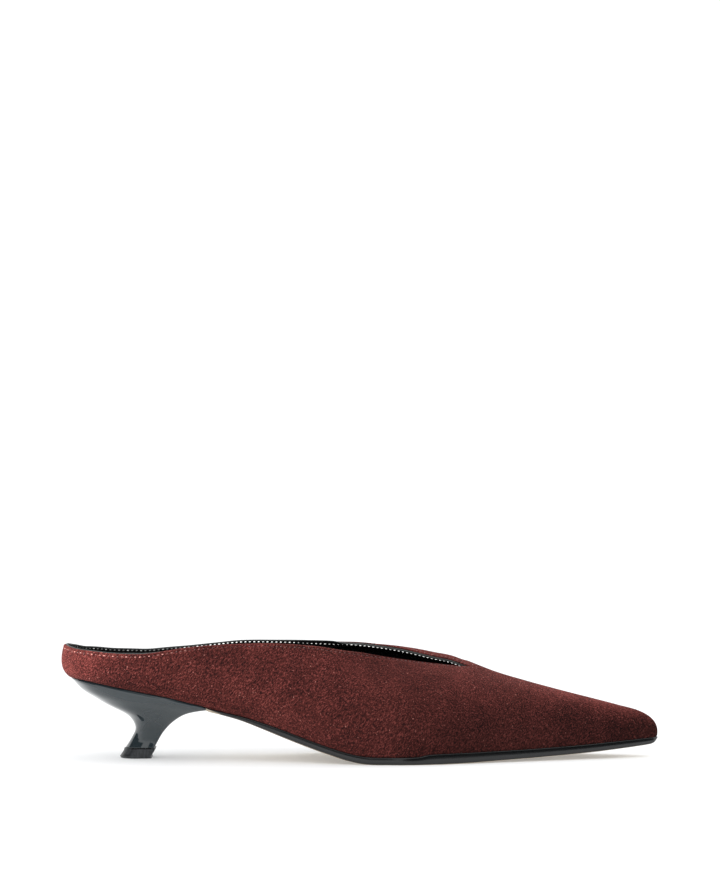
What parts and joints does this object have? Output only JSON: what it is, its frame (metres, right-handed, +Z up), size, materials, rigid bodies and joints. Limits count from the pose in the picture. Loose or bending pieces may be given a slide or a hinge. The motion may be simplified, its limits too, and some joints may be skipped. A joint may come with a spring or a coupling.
{
  "type": "pump shoe",
  "caption": "Pointed suede mule pump for the right foot, with a deep V throat, a low back and a low, curved, flared lacquered heel.",
  "frame": {"origin": "on the floor, under the middle of the shoe's overall length and width", "axes": "+X to the toe, +Y to the inner (medial) side of the foot, +Z up"},
  "size_m": [0.2724, 0.0742, 0.0537],
  "materials": {
    "suede": "burgundy suede, brushed nap",
    "lining": "black glazed lining leather",
    "footbed": "black smooth leather",
    "sole": "black painted edge, natural leather underneath",
    "lacquer": "black high gloss lacquer",
    "tip_rubber": "black satin",
    "thread": "dusty waxed thread"
  },
  "bodies": {
    "root": {"upper": "suede", "insole": "footbed", "outsole": "sole", "heel": "lacquer", "top_lift": "tip_rubber"}
  },
  "joints": []
}
